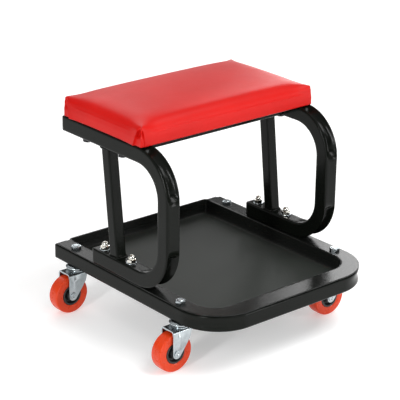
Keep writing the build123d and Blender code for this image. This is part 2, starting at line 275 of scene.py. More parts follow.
moulded = dict(rim=(0.006, 0.0068, 0.006), floor=(0.019, 0.0225, 0.0195), specular=0.24, plain=0.3,
               roughness=(0.26, 0.58), clouds=7.0, cloudy=(0.75, 1.15), scuffs=120.0, grain=1150.0,
               depth=0.0001)


def trayPlastic():
    # injection-moulded polypropylene: smooth rim and walls, a leathery matt texture on the floor, which is
    # painted paler as a painted reflection of the overhead light
    mat = newMaterial("trayPlastic", moulded["rim"], moulded["plain"], specular=moulded["specular"])
    shader = mat.node_tree.nodes["Principled BSDF"]
    coords = addNode(mat, "ShaderNodeTexCoord")
    parts = addNode(mat, "ShaderNodeSeparateXYZ")
    link(mat, coords.outputs["Object"], parts.inputs["Vector"])
    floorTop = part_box("tray")[0].z + tray["skin"]

    def below(height):
        # 0 at this height over the floor, rising to 1 just above the floor
        onFloor = addNode(mat, "ShaderNodeMapRange")
        onFloor.inputs["From Min"].default_value = floorTop + height
        onFloor.inputs["From Max"].default_value = floorTop + tray["floorBlend"]
        link(mat, parts.outputs["Z"], onFloor.inputs["Value"])
        return onFloor.outputs["Result"]

    # the basin floor is painted paler just above its face: painted reflection of the light that it catches
    paintedSheen, matt = below(tray["sheenHigh"]), below(tray["mattHigh"])
    cloud = objectNoise(mat, moulded["clouds"], 5.0, 0.6)
    share = addNode(mat, "ShaderNodeMath", operation="MULTIPLY")
    link(mat, paintedSheen, share.inputs[0])
    link(mat, spread(mat, cloud.outputs["Fac"], *moulded["cloudy"]), share.inputs[1])
    # rim colour on walls and flange, the painted paler sheen on the floor, varied by the clouds
    mixColours(mat, share.outputs["Value"], moulded["rim"], moulded["floor"], 0.0, 1.0)
    link(mat, spread(mat, matt, *moulded["roughness"]), shader.inputs["Roughness"])
    cells = objectCells(mat, moulded["grain"])
    scuff = objectNoise(mat, moulded["scuffs"], 3.0, 0.5, (1, 0.15, 1))
    addBumps(mat, (cells.outputs["Distance"], moulded["depth"], 0.3),
             (scuff.outputs["Fac"], moulded["depth"], 0.12))
    return mat


plastic = dict(colour=(0.012, 0.012, 0.012), plain=0.42, roughness=(0.34, 0.5), patches=60.0,
               grain=1400.0, grainDepth=0.00006)


def blackPlastic(name):
    # plain moulded plastic with a fine grain
    mat = newMaterial(name, plastic["colour"], plastic["plain"])
    roughen(mat, objectNoise(mat, plastic["patches"]).outputs["Fac"], *plastic["roughness"])
    grain = objectNoise(mat, plastic["grain"], 2.0)
    addBumps(mat, (grain.outputs["Fac"], plastic["grainDepth"], 0.5))
    return mat


vinyl = dict(deep=(0.475, 0.004, 0.0022), bright=(0.52, 0.0055, 0.0032), specular=0.17, plain=0.4,
             roughness=(0.34, 0.44), clouds=14.0, patches=30.0, grain=1500.0, grainDepth=0.00006,
             foam=26.0, foamDepth=0.0015)


def redVinyl():
    # smooth upholstery vinyl: fine pebble grain, broad soft unevenness of the foam beneath
    mat = newMaterial("redVinyl", vinyl["deep"], vinyl["plain"], specular=vinyl["specular"])
    mixColours(mat, objectNoise(mat, vinyl["clouds"]).outputs["Fac"], vinyl["deep"], vinyl["bright"])
    roughen(mat, objectNoise(mat, vinyl["patches"], 5.0).outputs["Fac"], *vinyl["roughness"])
    cells = objectCells(mat, vinyl["grain"])
    soft = objectNoise(mat, vinyl["foam"], 3.0)
    addBumps(mat, (soft.outputs["Fac"], vinyl["foamDepth"], 0.25),
             (cells.outputs["Distance"], vinyl["grainDepth"], 0.45))
    return mat


orange = dict(deep=(0.59, 0.038, 0.0045), bright=(0.63, 0.043, 0.0055), specular=0.3, plain=0.32,
              roughness=(0.24, 0.32), clouds=45.0, patches=90.0, grain=900.0, grainDepth=0.00005)


def orangeTread():
    # cast urethane, nearly even in colour
    mat = newMaterial("orangeTread", orange["deep"], orange["plain"], specular=orange["specular"])
    clouds = objectNoise(mat, orange["clouds"], 5.0)
    mixColours(mat, clouds.outputs["Fac"], orange["deep"], orange["bright"])
    roughen(mat, objectNoise(mat, orange["patches"], 5.0).outputs["Fac"], *orange["roughness"])
    grain = objectNoise(mat, orange["grain"], 2.0)
    addBumps(mat, (grain.outputs["Fac"], orange["grainDepth"], 0.3))
    return mat


zinc = dict(low=(0.4, 0.44, 0.46), high=(0.5, 0.545, 0.565), plain=0.18, roughness=(0.18, 0.3))
nickel = dict(low=(0.5, 0.49, 0.45), high=(0.66, 0.65, 0.6), plain=0.03, roughness=(0.03, 0.08))
plated = dict(clouds=110.0, patches=260.0, lines=900.0, lineDepth=0.00004)


def platedSteel(name, metal):
    # bright plating: cloudy passivation and fine rolling lines
    mat = newMaterial(name, metal["high"], metal["plain"], metallic=1.0)
    clouds = objectNoise(mat, plated["clouds"], 5.0)
    mixColours(mat, clouds.outputs["Fac"], metal["low"], metal["high"], 0.3, 0.7)
    roughen(mat, objectNoise(mat, plated["patches"], 4.0).outputs["Fac"], *metal["roughness"])
    lines = objectNoise(mat, plated["lines"], 2.0, 0.5, (1, 1, 0.06))
    addBumps(mat, (lines.outputs["Fac"], plated["lineDepth"], 0.3))
    return mat


black = dict(colour=(0.02, 0.02, 0.022), metallic=0.7, plain=0.38, roughness=(0.28, 0.5), patches=300.0,
             grain=1200.0, grainDepth=0.00005)


def blackSteel():
    # blackened screws: half metallic, finely grained
    mat = newMaterial("blackSteel", black["colour"], black["plain"], metallic=black["metallic"])
    roughen(mat, objectNoise(mat, black["patches"]).outputs["Fac"], *black["roughness"])
    grain = objectNoise(mat, black["grain"], 2.0)
    addBumps(mat, (grain.outputs["Fac"], black["grainDepth"], 0.4))
    return mat


birch = dict(colour=(0.5, 0.36, 0.21), dark=(0.36, 0.23, 0.12), light=(0.58, 0.43, 0.27), plain=0.62,
             grain=34.0, grainDepth=0.0002)


def plywoodSheet():
    # rotary-cut birch: long wavy grain on the face, thin plies on the edge
    mat = newMaterial("plywoodSheet", birch["colour"], birch["plain"])
    grain = objectNoise(mat, birch["grain"], 8.0, 0.6, (0.12, 1, 6))
    mixColours(mat, grain.outputs["Fac"], birch["dark"], birch["light"], 0.3, 0.72)
    addBumps(mat, (grain.outputs["Fac"], birch["grainDepth"], 0.4))
    return mat


paintFinish = framePaint()
trayFinish = trayPlastic()
plugFinish = blackPlastic("plugPlastic")
hubFinish = blackPlastic("hubPlastic")
vinylFinish = redVinyl()
treadFinish = orangeTread()
zincFinish = platedSteel("zincPlate", zinc)
nutFinish = platedSteel("nickelPlate", nickel)
blackFinish = blackSteel()
woodFinish = plywoodSheet()
print("materials ready")


baseLow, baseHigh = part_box("base_frame")
trayLow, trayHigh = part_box("tray")
side = baseHigh.z - baseLow.z
# slow and quick are the angles over which a bend's two profiles rise; edge is what they start from
stock = dict(corner=0.0032, bendMid=0.062, arcSteps=28, dentInside=0.0105, dentOutside=0.0019, lead=0.006,
             edge=0.04, slow=0.6, quick=0.18, insidePower=0.65, outsidePower=1.6, plugHead=0.003)


def roundedSquare(width, corner, steps=6):
    # the outline of a square tube as (across, up) pairs: a rounded corner and a flat, turned four times
    angle = np.linspace(0, np.pi / 2, steps)
    arc = np.stack([np.cos(angle), np.sin(angle)], 1) * corner
    inner = width / 2 - corner
    quarter = []
    flat = np.linspace(-1, 1, 8)[1:-1] * inner
    for k in range(4):
        turn = np.array([[math.cos(k * math.pi / 2), math.sin(k * math.pi / 2)],
                         [-math.sin(k * math.pi / 2), math.cos(k * math.pi / 2)]])
        quarter.append((arc + inner) @ turn)
        quarter.append(np.stack([-flat, np.full(len(flat), width / 2)], 1) @ turn)
    return np.concatenate(quarter)


def bentPath(corners, radius, steps):
    # straight runs joined by tangent arcs; gives points, tangents and, for each, how far the outer
    # wall is flattened (smoothly over the bend) and the inner one dented (at once, as by a die)
    corners = np.array(corners, float)
    points, bend = [corners[0]], [(0, 0)]
    for before, here, after in zip(corners[:-2], corners[1:-1], corners[2:]):
        a = (before - here) / np.linalg.norm(before - here)
        b = (after - here) / np.linalg.norm(after - here)
        centre = here + (a + b) * radius
        sweep = np.linspace(0, np.pi / 2, steps)
        arc = centre - radius * (b * np.cos(sweep)[:, None] + a * np.sin(sweep)[:, None])
        near, edge = stock["lead"], stock["edge"]
        lead = np.array([arc[0] + a * near * 2, arc[0] + a * near])
        tail = np.array([arc[-1] + b * near, arc[-1] + b * near * 2])
        points += [*lead, *arc, *tail]
        left = np.pi / 2 - sweep
        smooth, sudden = (edge + (1 - edge) * smoothStep(sweep / rise) * smoothStep(left / rise)
                          for rise in (stock["slow"], stock["quick"]))
        bend += [(0, 0), (edge, edge), *np.stack([smooth, sudden], 1).tolist(), (edge, edge), (0, 0)]
    points.append(corners[-1])
    bend.append((0, 0))
    points = np.array(points)
    tangents = np.gradient(points, axis=0)
    tangents /= np.linalg.norm(tangents, axis=1)[:, None]
    return points, tangents, np.array(bend)


def bentTube(name, corners, binormal, width, inwards):
    # a square section carried along a flat path; in a bend the inside wall is pressed in
    # and the outside wall flattens, as when square tube is bent on a round die; each wall moves by
    # its dent times (1 - (up / half the flat)^2) to a power
    points, tangents, bend = bentPath(corners, stock["bendMid"], stock["arcSteps"])
    binormal = np.array(binormal, float)
    normal = np.cross(binormal, tangents) * inwards
    section = roundedSquare(width, stock["corner"])
    across, up = section[:, 0], section[:, 1]
    bowl = np.clip(1 - (up / (0.5 * width - 0.6 * stock["corner"])) ** 2, 0, 1)
    bowl = np.where(across > 0, bowl ** stock["insidePower"], bowl ** stock["outsidePower"])
    dented, flattened = -stock["dentInside"] * bend[:, 1:], stock["dentOutside"] * bend[:, :1]
    push = bowl * np.where(across > 0, dented, flattened)
    reach = across + push * (np.abs(across) > 0.4 * width)
    grid = points[:, None] + reach[:, :, None] * normal[:, None] + up[None, :, None] * binormal
    return gridPiece(name, grid, wrapCols=True, capEnds=True, sharp=50)


railX = baseHigh.x - side / 2
railZ = (baseHigh.z + baseLow.z) / 2
frontY = baseLow.y + side / 2
baseTube = bentTube("baseTube", [(-railX, baseHigh.y, railZ), (-railX, frontY, railZ),
                                 (railX, frontY, railZ), (railX, baseHigh.y, railZ)], (0, 0, 1), side, 1)
place(baseTube, chair, paintFinish, "base_frame", slot="frame_paint")

for name in ("left", "right"):
    low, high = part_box(f"hoop_{name}")
    x = (low.x + high.x) / 2
    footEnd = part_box(f"foot_plug_{name}")[1].y - stock["plugHead"]
    path = [(x, footEnd, low.z + side / 2), (x, low.y + side / 2, low.z + side / 2),
            (x, low.y + side / 2, high.z - side / 2), (x, high.y, high.z - side / 2)]
    hoop = bentTube(f"{name}Hoop", path, (1, 0, 0), side, 1)
    place(hoop, chair, paintFinish, f"hoop_{name}", slot="frame_paint")
print("tubes ready")


weld = dict(radius=0.0021, ripples=0.0021, rippleDepth=0.16, steps=150, outwards=0.001, corner=0.003,
            lift=0.0003, braceCorner=0.0024, barShrink=0.001)


def straightTube(name, start, end, first, second, width, corner):
    # one rounded square at each end, drawn along the directions first and second
    section = roundedSquare(width, corner)
    flat = section[:, :1] * np.array(first, float) + section[:, 1:] * np.array(second, float)
    grid = np.stack([np.array(start) + flat, np.array(end) + flat])
    return gridPiece(name, grid, wrapCols=True, capEnds=True, sharp=50)


def weldBead(name, centres, first, second, width):
    # a thin round bead along a rounded square, swelling and shrinking with each stitch
    outline = roundedSquare(width + weld["outwards"], weld["corner"], 5)
    closed = np.concatenate([outline, outline[:1]])
    steps = np.linalg.norm(np.diff(closed, axis=0), axis=1)
    along = np.concatenate([[0], np.cumsum(steps)])
    want = np.linspace(0, along[-1], weld["steps"], endpoint=False)
    path = np.stack([np.interp(want, along, closed[:, k]) for k in (0, 1)], 1)
    first, second = np.array(first, float), np.array(second, float)
    up = np.cross(first, second)
    spot = path[:, :1] * first + path[:, 1:] * second
    out = spot / np.linalg.norm(spot, axis=1)[:, None]
    stitches = round(along[-1] / weld["ripples"])
    size = weld["radius"] * (1 + weld["rippleDepth"] * np.sin(want / along[-1] * 2 * np.pi * stitches))
    turn = np.linspace(0, 2 * np.pi, 8, endpoint=False)
    ring = np.cos(turn)[None, :, None] * out[:, None] + np.sin(turn)[None, :, None] * up
    grid = spot[:, None] + ring * size[:, None, None]
    return stackPiece(name, np.stack([np.array(c) + grid for c in centres]), True, True, 60)


for name in ("left", "right"):
    low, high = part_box(f"brace_{name}")
    x = (low.x + high.x) / 2
    width = high.x - low.x
    footY, headY = low.y + width / 2, high.y - width / 2
    brace = straightTube(f"{name}Brace", (x, footY, low.z), (x, headY, high.z),
                         (1, 0, 0), (0, 1, 0), width, weld["braceCorner"])
    place(brace, chair, paintFinish, f"brace_{name}", slot="frame_paint")
    beadEnds = [(x, footY, low.z + weld["lift"]), (x, headY, high.z - weld["lift"])]
    bead = weldBead(f"{name}BraceWelds", beadEnds, (1, 0, 0), (0, 1, 0), width)
    place(bead, chair, paintFinish, slot="frame_paint")

barLow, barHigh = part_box("cross_bar")
barY, barZ = (barLow.y + barHigh.y) / 2, (barLow.z + barHigh.z) / 2
bar = straightTube("crossBar", (barLow.x, barY, barZ), (barHigh.x, barY, barZ),
                   (0, 1, 0), (0, 0, 1), side, stock["corner"])
place(bar, chair, paintFinish, "cross_bar", slot="frame_paint")
weldZ = barZ - weld["barShrink"]
barEnds = [(barLow.x + weld["lift"], barY, weldZ), (barHigh.x - weld["lift"], barY, weldZ)]
barWelds = weldBead("crossBarWelds", barEnds, (0, 1, 0), (0, 0, 1), side - 2 * weld["barShrink"])
place(barWelds, chair, paintFinish, slot="frame_paint")
print("braces and welds ready")


def roundedLoop(left, right, front, rear, frontRadius, rearRadius):
    # four arcs and the runs between them, of fixed point count, so that such loops can be blended:
    # rear left, down the left side, front, up the right side, rear
    quarter = np.linspace(0, np.pi / 2, 22)[:, None]
    small = np.linspace(0, np.pi / 2, 8)[:, None]

    def arc(cx, cy, r, t, a, b):
        # centre + r (a cos t + b sin t)
        return np.array([[cx, cy]]) + r * (np.cos(t) * np.array([a]) + np.sin(t) * np.array([b]))

    def run(p, q, n):
        # n places from p to q without the two ends
        t = np.linspace(0, 1, n)[1:-1, None]
        return np.array([p]) * (1 - t) + np.array([q]) * t

    frontLeft = arc(left + frontRadius, front + frontRadius, frontRadius, quarter, (-1, 0), (0, -1))
    frontRight = arc(right - frontRadius, front + frontRadius, frontRadius, quarter, (0, -1), (1, 0))
    rearRight = arc(right - rearRadius, rear - rearRadius, rearRadius, small, (1, 0), (0, 1))
    rearLeft = arc(left + rearRadius, rear - rearRadius, rearRadius, small, (0, 1), (-1, 0))
    return np.concatenate([
        rearLeft, run(rearLeft[-1], frontLeft[0], 40), frontLeft, run(frontLeft[-1], frontRight[0], 40),
        frontRight, run(frontRight[-1], rearRight[0], 40), rearRight, run(rearRight[-1], rearLeft[0], 40)])


def basinLoop(inset):
    # the basin's outline, drawn inwards by inset on all sides
    half = trayHigh.x - side - tray["wallGap"] - tray["skin"] - inset
    front = trayLow.y + side + tray["frontGap"] + tray["skin"] + inset
    rear = trayHigh.y - tray["rearGap"] - tray["skin"] - inset
    rearCorner = max(tray["rearCorner"] - inset, tray["tightCorner"])
    return roundedLoop(-half, half, front, rear, tray["frontRadius"] - inset, rearCorner)


def makeTray():
    # a profile carried round the basin: outer edge, flange, rounded lip, drafted wall, floor
    top, floor = trayHigh.z, trayLow.z + tray["skin"]
    outer = roundedLoop(trayLow.x, trayHigh.x, trayLow.y, trayHigh.y, stock["bendMid"] + side / 2,
                        tray["outerCorner"])
    rim = basinLoop(0)
    lip = tray["lipBack"]
    atRear = rim[:, 1] > trayHigh.y - lip
    outer[atRear] = rim[atRear] + (0, tray["skin"] + tray["lipMore"])
    wallFoot = math.tan(math.radians(tray["draft"])) * (top - floor)
    wallProfile = roundCorners([(-lip, top), (0.0, top), (wallFoot, floor), (tray["floorStart"], floor)],
                               [0, tray["edgeRound"], tray["floorRound"], 0], 9)
    rings, heights = [], []
    # across the flange: a share of the way from the outer edge to the rim, and how far below the top
    for share, drop in ((0.0, 0.0012), (0.0, 0.0004), (0.015, 0.0), (0.035, 0.0), (0.3, 0.0), (0.7, 0.0)):
        rings.append(outer * (1 - share) + rim * share)
        heights.append(np.full(len(rim), top - drop))
    for inset, z in wallProfile:
        if inset > -lip / 2:
            ring = basinLoop(max(inset, 0.0) if inset < 0 else inset)
            if inset < 0:
                t = min(1.0, -inset / lip)
                ring = np.where(atRear[:, None], rim, rim * (1 - t) + outer * t)
            rings.append(ring)
            heights.append(np.full(len(rim), z))
    edge = rings[-1]
    middle = np.array([[0.0, (trayLow.y + trayHigh.y) / 2]])
    # the floor shrinks to its middle, sinking by sag (1 - share^2)
    for share in (0.93, 0.9, 0.84, 0.72, 0.58, 0.44, 0.3, 0.16, 0.05, 0.0):
        rings.append(middle + (edge - middle) * share)
        heights.append(np.full(len(rim), floor - tray["sag"] * (1 - share ** 2)))
    grid = np.concatenate([np.array(rings), np.array(heights)[:, :, None]], 2)
    obj = gridPiece("toolTray", grid, wrapCols=True, sharp=60)
    thick = obj.modifiers.new("skin", "SOLIDIFY")
    thick.thickness = tray["skin"] - tray["thinner"]
    thick.offset = -1
    return obj


toolTray = makeTray()
place(toolTray, chair, trayFinish, "tray", slot="tray_plastic")
print("tray ready")


fastener = dict(hexTurn=0.35, nextTurn=1.7, coneSlope=0.577)


def hexGrid(profile, across, centre, turn):
    # profile rows are (kind, value, height): a round row has the radius value, a hex row the hexagon's
    # radius across / (2 cos angle), and a cut row is lowered (or raised) where the hexagon stands past
    # the share value of its flats, as by a cone
    angle = np.linspace(0, 2 * np.pi, 72, endpoint=False)
    local = (angle + np.pi / 6) % (np.pi / 3) - np.pi / 6
    hexagon = across / 2 / np.cos(local)
    rows = []
    for kind, value, height in profile:
        if kind == "hex":
            rows.append((hexagon, np.full(72, height)))
        elif kind == "cut":
            rows.append((hexagon, height - (hexagon - across / 2 * value) * fastener["coneSlope"]))
        elif kind == "cutLow":
            rows.append((hexagon, height + (hexagon - across / 2 * value) * fastener["coneSlope"]))
        else:
            rows.append((np.full(72, value), np.full(72, height)))
    radius = np.array([r for r, _ in rows])
    height = np.array([h for _, h in rows])
    return np.stack([centre[0] + radius * np.cos(angle + turn), centre[1] + radius * np.sin(angle + turn),
                     centre[2] + height], -1)


def dome(radius, low, height, steps=9):
    # round rows over a quarter of an ellipse, from its foot to its pole
    t = np.linspace(0, np.pi / 2, steps)
    return [("round", radius * math.cos(a), low + height * math.sin(a)) for a in t]


def hexNuts(name, centres, across, rows):
    # one nut at each centre, each turned further than the one before
    turns = [fastener["hexTurn"] + fastener["nextTurn"] * k for k in range(len(centres))]
    grids = [hexGrid(rows, across, c, t) for c, t in zip(centres, turns)]
    return stackPiece(name, np.stack(grids), wrapCols=True, sharp=28)


def solidCentres(node):
    # for the four solids of a node, one in each quarter of the plan: middle x, middle y, lowest and
    # highest z
    mesh = nodes[node].data
    co = np.zeros(len(mesh.vertices) * 3)
    mesh.vertices.foreach_get("co", co)
    co = co.reshape(-1, 3)
    out = []
    for sx in (-1, 1):
        half = co[co[:, 0] * sx > 0]
        cut = (half[:, 1].max() + half[:, 1].min()) / 2
        for part in (half[half[:, 1] < cut], half[half[:, 1] >= cut]):
            low, high = part.min(0), part.max(0)
            out.append(((low[0] + high[0]) / 2, (low[1] + high[1]) / 2, low[2], high[2]))
    return out


capNut = dict(across=0.013, bore=0.0041, rim=0.0056, shoulder=0.0055, ball=0.0051, cone=0.95, topShare=0.93,
              neck=0.0003)
capPlaces = solidCentres("cap_nuts")
capLow, capHigh = capPlaces[0][2:]
capTall = capHigh - capLow
shoulder, ball = capNut["shoulder"], capNut["ball"]
capRows = [("round", capNut["bore"], 0), ("round", capNut["rim"], 0), ("cutLow", capNut["cone"], 0),
           ("cut", capNut["cone"], shoulder),
           ("round", capNut["across"] / 2 * capNut["topShare"], shoulder),
           ("round", ball + capNut["neck"], shoulder + 0.0001), ("round", ball, shoulder + 0.0004),
           ("round", ball, capTall - ball)] + dome(ball, capTall - ball, ball)[1:]
capNuts = hexNuts("capNuts", [p[:3] for p in capPlaces], capNut["across"], capRows)
place(capNuts, chair, nutFinish, "cap_nuts", slot="zinc")

washer = dict(bore=0.0042, outer=0.0085, outerRound=0.0004, boreRound=0.0003)


def washerRing(name, node, material, slotName):
    # a flat ring with rounded edges
    places = solidCentres(node)
    low, high = places[0][2:]
    bore, outer, thick = washer["bore"], washer["outer"], high - low
    profile = roundCorners([(bore, 0), (outer, 0), (outer, thick), (bore, thick), (bore, 0)],
                           [0, washer["outerRound"], washer["outerRound"], washer["boreRound"], 0], 4)
    ring = turned(name, profile, [p[:3] for p in places], segments=48)
    place(ring, chair, material, node, slot=slotName)


washerRing("hoopWashers", "hoop_washers", zincFinish, "zinc")
washerRing("seatWashers", "seat_washers", blackFinish, "black_bolt")

stemNut = dict(across=0.0148, bore=0.0052, rim=0.0068, lowCone=0.95, topCone=0.93, topRound=0.0069,
               mouth=0.0058, mouthDeep=0.0006)
stemNutPlaces = solidCentres("stem_nuts")
nutLow, nutHigh = stemNutPlaces[0][2:]
nutTall = nutHigh - nutLow
stemNutRows = [("round", stemNut["bore"], 0), ("round", stemNut["rim"], 0),
               ("cutLow", stemNut["lowCone"], 0), ("cut", stemNut["topCone"], nutTall),
               ("round", stemNut["topRound"], nutTall), ("round", stemNut["mouth"], nutTall),
               ("round", stemNut["bore"], nutTall - stemNut["mouthDeep"])]
stemNuts = hexNuts("stemNuts", [p[:3] for p in stemNutPlaces], stemNut["across"], stemNutRows)
place(stemNuts, chair, zincFinish, "stem_nuts", slot="zinc")

seatBolt = dict(across=0.013, socket=0.0035, rim=0.0058, cone=0.93, headTall=0.0053, neck=0.0041,
                shank=0.004, shankTall=0.02)
boltPlaces = solidCentres("seat_bolts")
headTop = seatBolt["headTall"]
shankTop = headTop + seatBolt["shankTall"]
headRows = [("round", 0, 0), ("round", seatBolt["socket"], 0.0), ("round", seatBolt["rim"], 0),
            ("cutLow", seatBolt["cone"], 0), ("hex", 0, headTop), ("round", seatBolt["neck"], headTop),
            ("round", seatBolt["shank"], shankTop), ("round", 0, shankTop)]
seatBolts = hexNuts("seatBolts", [p[:3] for p in boltPlaces], seatBolt["across"], headRows)
place(seatBolts, chair, blackFinish, "seat_bolts", slot="black_bolt")

# a quarter of an ellipse for the head, then a short shank into the rail
button = dict(head=0.008, shank=0.004, shankTall=0.012)
buttonPlaces = solidCentres("hoop_bolts")
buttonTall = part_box("base_frame")[0].z - buttonPlaces[0][2]
shankEnd = buttonTall + button["shankTall"]
curve = np.linspace(0, np.pi / 2, 10)
buttonProfile = np.concatenate([
    np.stack([button["head"] * np.sin(curve), buttonTall * (1 - np.cos(curve))], 1),
    [(button["shank"], buttonTall), (button["shank"], shankEnd), (0, shankEnd)]])
buttons = turned("hoopBoltHeads", buttonProfile, [p[:3] for p in buttonPlaces], segments=48)
place(buttons, chair, zincFinish, "hoop_bolts", slot="zinc")
print("fasteners ready")


tread = dict(hubR=0.0175, roundEdge=0.0022, crown=0.0006, seam=0.00025, seamHalf=0.0005, stepWide=0.0012,
             stepIn=0.0002, stepEnd=0.002, shoulderIn=0.004, faceEnd=0.001, faceStart=0.0008)


def makeTread(tag):
    # ring profile: hub bore, side face, rounded shoulder, running face that falls by
    # crown (t / half)^2 away from the middle, mould seam
    low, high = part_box(f"tread_{tag}")
    centre = (low + high) / 2
    wheelR, half, hubR = (high.z - low.z) / 2, (high.y - low.y) / 2, tread["hubR"]
    r, crown = tread["roundEdge"], tread["crown"]
    shoulder = np.linspace(0, np.pi / 2, 9)
    stepWide = tread["stepWide"]
    sidePart = np.array([(hubR, half - stepWide), (hubR + stepWide, half - tread["stepIn"]),
                         (hubR + tread["stepEnd"], half), (wheelR - r - tread["shoulderIn"], half)])
    corner = np.stack([wheelR - r + r * np.sin(shoulder), half - r + r * np.cos(shoulder)], 1)
    corner[:, 0] -= crown
    t = np.linspace(half - r - tread["faceEnd"], tread["faceStart"], 6)
    face = np.stack([wheelR - crown * (t / half) ** 2, t], 1)
    seam = np.array([(wheelR, tread["seamHalf"]), (wheelR - tread["seam"], 0.0)])
    upper = np.concatenate([sidePart, corner, face, seam])
    lower = upper[::-1][1:] * (1, -1)
    profile = np.concatenate([upper, lower, upper[:1]])
    obj = turned(f"tread_{tag}_rubber", profile, [centre], (0, 1, 0), 96, 45)
    place(obj, f"wheel_{tag}", treadFinish, f"tread_{tag}", slot="orange_tread")


hub = dict(bore=0.00562, boss=0.0088, bossFoot=0.0094, bossRise=0.0014, webIn=0.0105, webOut=0.0134,
           web=0.0042, rim=0.011, rimIn=0.0144, rimTop=0.0152, edge=0.0004, rimDrop=0.0003, skinIn=0.0001,
           chamfer=0.001, soften=0.0006)


def makeHub(tag):
    # half a section from boss to web to rim, mirrored to the other side and softened at its corners
    low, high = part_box(f"wheel_hub_{tag}")
    centre = (low + high) / 2
    half, rimR = (high.y - low.y) / 2, (high.z - low.z) / 2
    rim, web = hub["rim"], hub["web"]
    upper = [(rimR - hub["skinIn"], rim - hub["chamfer"]), (rimR - hub["rimDrop"], rim),
             (hub["rimTop"], rim), (hub["rimIn"], rim - hub["edge"]),
             (hub["webOut"], web), (hub["webIn"], web),
             (hub["bossFoot"], web + hub["bossRise"]), (hub["boss"], half), (hub["bore"], half)]
    lower = [(r, -y) for r, y in upper[::-1]]
    profile = roundCorners(lower + upper + lower[:1], hub["soften"], 4)
    obj = turned(f"hub_{tag}_core", profile, [centre], (0, 1, 0), 72, 40)
    place(obj, f"wheel_{tag}", hubFinish, f"wheel_hub_{tag}", slot="hub_plastic")


axle = dict(shank=0.004, flange=0.0015, rimIn=0.0012, rimHigh=0.0004, dimple=0.0024, dimpleFoot=0.0019,
            dimpleWall=0.0009, dimpleDeep=0.0012)


def makeAxle(tag):
    # a rivet: each head is a flange with a rounded edge and a dimple in its middle
    low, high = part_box(f"axle_{tag}")
    centre = (low + high) / 2
    half, headR = (high.y - low.y) / 2, (high.z - low.z) / 2
    rimIn, rimHigh = axle["rimIn"], axle["rimHigh"]
    t = np.linspace(0, np.pi / 2, 9)
    flange = np.array([(axle["shank"], half - axle["flange"]), (headR, half - axle["flange"]),
                       (headR, half - rimHigh)])
    domed = np.stack([headR - rimIn + rimIn * np.cos(t), half - rimHigh + rimHigh * np.sin(t)], 1)
    dimple = np.array([(axle["dimple"], half), (axle["dimpleFoot"], half - axle["dimpleWall"]),
                       (0.0, half - axle["dimpleDeep"])])
    upper = np.concatenate([flange, domed, dimple])
    profile = np.concatenate([upper[::-1], upper * (1, -1)])
    obj = turned(f"axle_{tag}_rivet", profile, [centre], (0, 1, 0), 48, 40)
    place(obj, f"swivel_{tag}", zincFinish, f"axle_{tag}", slot="zinc")


# thread, cup and king pin from top to bottom; the cup's heights count down from the rail's underside,
# the peened head's up from the pin's lower end
stem = dict(threadEnd=0.0042, thread=0.005, threadTaper=0.0008, clear=0.0001, cupShoulder=0.004,
            cupShoulderZ=0.0022, cupDeep=0.004, rolled=0.0012, cupWall=0.0016, cupInner=0.0062, pin=0.006,
            peen=0.009, peenTop=0.0036, peenLow=0.0082, peenLowZ=0.0008)


def makeStem(tag):
    # threaded stem over a pressed cup with a rolled rim, and the king pin's peened head
    low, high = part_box(f"caster_stem_{tag}")
    x, y = (low.x + high.x) / 2, (low.y + high.y) / 2
    under = baseLow.z - stem["clear"]
    cupR, cupLow = (high.x - low.x) / 2, baseLow.z - stem["cupDeep"]
    rolled, pin, thread = stem["rolled"], stem["pin"], stem["thread"]
    # radius, height and the rounding of each corner
    rows = [(0, high.z, 0), (stem["threadEnd"], high.z, 0), (thread, high.z - stem["threadTaper"], 0),
            (thread, under, 0), (cupR - stem["cupShoulder"], under, 0.003),
            (cupR, baseLow.z - stem["cupShoulderZ"], 0.0012), (cupR, cupLow, 0.0004),
            (cupR - rolled, cupLow, 0.0004), (cupR - stem["cupWall"], cupLow + rolled, 0),
            (stem["cupInner"], cupLow + rolled, 0), (pin, cupLow, 0), (pin, low.z + stem["peenTop"], 0),
            (stem["peen"], low.z + stem["peenTop"], 0.0008),
            (stem["peenLow"], low.z + stem["peenLowZ"], 0.001), (pin, low.z, 0.001), (0, low.z, 0)]
    profile = roundCorners([(r, z) for r, z, _ in rows], [soft for _, _, soft in rows], 5)
    obj = turned(f"stem_{tag}_cup", profile, [(x, y, 0)], (0, 0, 1), 64, 35)
    place(obj, chair, zincFinish, f"caster_stem_{tag}", slot="zinc")


race = dict(bore=0.0061, clear=0.0002, footTall=0.0015, stepTall=0.0019, step=0.0035, lip=0.0012,
            lipDrop=0.0008)


def makeRace(tag):
    # a wide foot, a narrower neck and a lip at the top; each row ends with its corner's radius
    low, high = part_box(f"ball_race_{tag}")
    x, y = (low.x + high.x) / 2, (low.y + high.y) / 2
    r, top = (high.x - low.x) / 2, high.z - race["clear"]
    bore, neck, lip = race["bore"], r - race["step"], r - race["lip"]
    rows = [(bore, low.z, 0), (r, low.z, 0.0004), (r, low.z + race["footTall"], 0.0005),
            (neck, low.z + race["stepTall"], 0.0004), (neck, top - race["lip"], 0.0004),
            (lip, top - race["lipDrop"], 0.0003), (lip, top, 0.0003), (bore, top, 0), (bore, low.z, 0)]
    profile = roundCorners([(across, z) for across, z, _ in rows], [soft for _, _, soft in rows], 4)
    obj = turned(f"race_{tag}_ring", profile, [(x, y, 0)], (0, 0, 1), 64, 35)
    place(obj, f"swivel_{tag}", zincFinish, f"ball_race_{tag}", slot="zinc")


# boss is the round end about the axle; the front edge leaves it at bossFront, bossDown (shares of its
# radius) and leans out to the knee; the ridge lies ahead of the axle and carries a thin rib
yoke = dict(sheet=0.0024, inside=0.025, bossRound=0.008, bendRound=0.0035, bossFront=0.82, bossDown=0.57,
            kneeBack=0.0043, kneeDrop=0.017, ridge=0.0028, ridgeHigh=0.0022, ribWide=0.005, ribHigh=0.0007,
            ribEdge=0.0007, ridgeFoot=0.005, footRise=0.008, topClear=0.002, topRise=0.012, leastFront=0.002,
            columns=71, bevel=0.0005)


